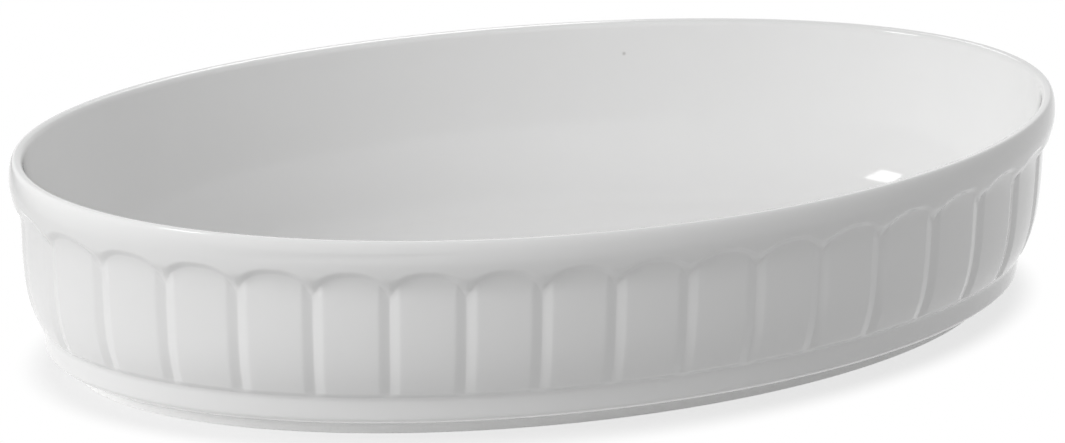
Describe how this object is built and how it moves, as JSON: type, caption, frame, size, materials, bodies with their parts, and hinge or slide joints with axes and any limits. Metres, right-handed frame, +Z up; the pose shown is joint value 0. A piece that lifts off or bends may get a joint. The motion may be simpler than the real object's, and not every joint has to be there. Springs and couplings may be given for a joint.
{
  "type": "oval baking dish",
  "caption": "Deep oval baking dish of white glazed porcelain, with a plain rim, an arcade of arched panels round the outside and a bare foot ring, for oven cooking and serving.",
  "frame": {"origin": "middle of the base, on the surface that the dish stands on", "axes": "+X along the dish's length, +Y across its width, +Z up out of its mouth"},
  "size_m": [0.34, 0.1966, 0.069],
  "materials": {
    "white_glaze": "gloss",
    "bare_porcelain": "matte"
  },
  "bodies": {
    "root": {"porcelain_body": "bare_porcelain", "foot_ring": "bare_porcelain", "outside_glaze": "white_glaze", "inside_glaze": "white_glaze", "underside_glaze": "white_glaze"}
  },
  "joints": []
}
